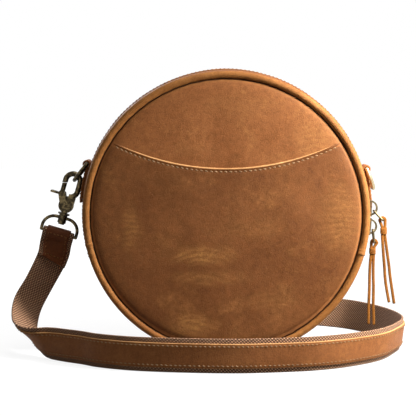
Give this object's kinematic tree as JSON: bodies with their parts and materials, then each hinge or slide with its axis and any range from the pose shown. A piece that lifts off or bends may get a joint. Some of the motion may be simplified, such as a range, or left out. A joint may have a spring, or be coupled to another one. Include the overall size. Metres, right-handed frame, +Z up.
{
  "type": "circle bag",
  "caption": "Round standing crossbody bag with piped edges, front slip pocket, zip gusset, side rings and a webbing strap on swivel hooks.",
  "frame": {"origin": "on the floor, under the middle of the bag's pressed foot", "axes": "+X to the right, +Y to the back, +Z up; the front pocket faces -Y"},
  "size_m": [0.3085, 0.2257, 0.2197],
  "materials": {
    "leather": "oiled pull-up leather, mid brown, semi-matt",
    "edge_leather": "oiled leather, lighter orange tan",
    "webbing": "dark brown twill cotton webbing",
    "lining": "plain woven cotton",
    "foam": "soft padding felt",
    "cord": "twisted cotton cord",
    "zip_tape": "woven zip tape, dark brown",
    "zip_metal": "antique brass, satin",
    "hook_metal": "antique brass, dark, satin",
    "ring_metal": "pale antique brass, satin"
  },
  "bodies": {
    "bag": {"front_panel": "leather", "front_pocket": "leather", "pocket_lining": "lining", "front_piping": "edge_leather", "front_piping_cord": "cord", "back_panel": "leather", "back_piping": "edge_leather", "back_piping_cord": "cord", "gusset_lower": "leather", "gusset_front_strip": "leather", "gusset_back_strip": "leather", "zip_tape_front": "zip_tape", "zip_tape_back": "zip_tape", "zip_teeth_front": "zip_metal", "zip_teeth_back": "zip_metal", "zip_end_stops": "zip_metal", "front_padding": "foam", "back_padding": "foam", "lining_front": "lining", "lining_back": "lining", "lining_gusset": "lining", "inner_pocket": "lining", "tab_left": "leather", "tab_right": "leather", "strap_webbing": "webbing", "strap_leather": "leather", "strap_fold_left": "webbing", "strap_fold_right": "webbing", "strap_tail_left": "webbing", "strap_tail_right": "webbing", "strap_patch_left": "leather", "strap_patch_right": "leather"},
    "ring_left": {"ring_left": "hook_metal"},
    "ring_right": {"ring_right": "ring_metal"},
    "slider_upper": {"slider_upper": "zip_metal"},
    "link_upper": {"link_upper": "zip_metal"},
    "tassel_upper": {"tassel_upper": "edge_leather", "lace_wrap_upper": "edge_leather"},
    "slider_lower": {"slider_lower": "zip_metal"},
    "link_lower": {"link_lower": "zip_metal"},
    "tassel_lower": {"tassel_lower": "edge_leather", "lace_wrap_lower": "edge_leather"},
    "eye_left": {"eye_left": "hook_metal"},
    "hook_left": {"hook_left": "hook_metal", "swivel_pin_left": "hook_metal", "rivet_left": "hook_metal", "trigger_spring_left": "hook_metal"},
    "trigger_left": {"trigger_left": "hook_metal"},
    "eye_right": {"eye_right": "hook_metal"},
    "hook_right": {"hook_right": "hook_metal", "swivel_pin_right": "hook_metal", "rivet_right": "hook_metal", "trigger_spring_right": "hook_metal"},
    "trigger_right": {"trigger_right": "hook_metal"}
  },
  "joints": [
    {"name": "ring_left_swing", "type": "hinge", "parent": "bag", "child": "ring_left", "pos_m": [-0.1094, 0.009, 0.14517], "axis": [0, 1, 0], "range_deg": [-2, 2]},
    {"name": "ring_right_swing", "type": "hinge", "parent": "bag", "child": "ring_right", "pos_m": [0.11064, 0.009, 0.14133], "axis": [0, -1, 0], "range_deg": [0, 150]},
    {"name": "slider_upper_run", "type": "hinge", "parent": "bag", "child": "slider_upper", "pos_m": [0, -0.018, 0.1075], "axis": [0, -1, 0], "range_deg": [0, 187]},
    {"name": "slider_lower_run", "type": "hinge", "parent": "bag", "child": "slider_lower", "pos_m": [0, -0.018, 0.1075], "axis": [0, -1, 0], "range_deg": [-6, 0]},
    {"name": "link_upper_swing", "type": "hinge", "parent": "slider_upper", "child": "link_upper", "pos_m": [0.11442, -0.018, 0.10989], "axis": [0, -1, 0], "range_deg": [-4, 95]},
    {"name": "tassel_upper_swing", "type": "hinge", "parent": "link_upper", "child": "tassel_upper", "pos_m": [0.12127, -0.018, 0.1026], "axis": [0, -1, 0], "range_deg": [-4, 60]},
    {"name": "link_lower_swing", "type": "hinge", "parent": "slider_lower", "child": "link_lower", "pos_m": [0.11378, -0.018, 0.09514], "axis": [0, -1, 0], "range_deg": [-6, 8]},
    {"name": "tassel_lower_swing", "type": "hinge", "parent": "link_lower", "child": "tassel_lower", "pos_m": [0.11482, -0.018, 0.08519], "axis": [0, -1, 0], "range_deg": [-5, 3]},
    {"name": "eye_left_turn", "type": "hinge", "parent": "bag", "child": "eye_left", "pos_m": [-0.13309, 0.009, 0.09], "axis": [0.9613, 0, -0.2756], "range_deg": [-2, 2]},
    {"name": "hook_left_swivel", "type": "hinge", "parent": "eye_left", "child": "hook_left", "pos_m": [-0.12959, 0.009, 0.1022], "axis": [0.2756, 0, 0.9613], "range_deg": [-8, 8]},
    {"name": "trigger_left_press", "type": "hinge", "parent": "hook_left", "child": "trigger_left", "pos_m": [-0.1287, 0.009, 0.11329], "axis": [0, 1, 0], "range_deg": [0, 20], "stiffness_Nm_per_rad": 0.05, "springref_deg": -17.19},
    {"name": "eye_right_turn", "type": "hinge", "parent": "bag", "child": "eye_right", "pos_m": [-0.0242, 0.1001, 0.0048], "axis": [0, 1, 0], "range_deg": [0, 130]},
    {"name": "hook_right_swivel", "type": "hinge", "parent": "eye_right", "child": "hook_right", "pos_m": [-0.0369, 0.1001, 0.0048], "axis": [-1, 0, 0], "continuous": true},
    {"name": "trigger_right_press", "type": "hinge", "parent": "hook_right", "child": "trigger_right", "pos_m": [-0.0478, 0.0979, 0.0048], "axis": [0, 0, -1], "range_deg": [0, 20], "stiffness_Nm_per_rad": 0.05, "springref_deg": -17.19}
  ]
}
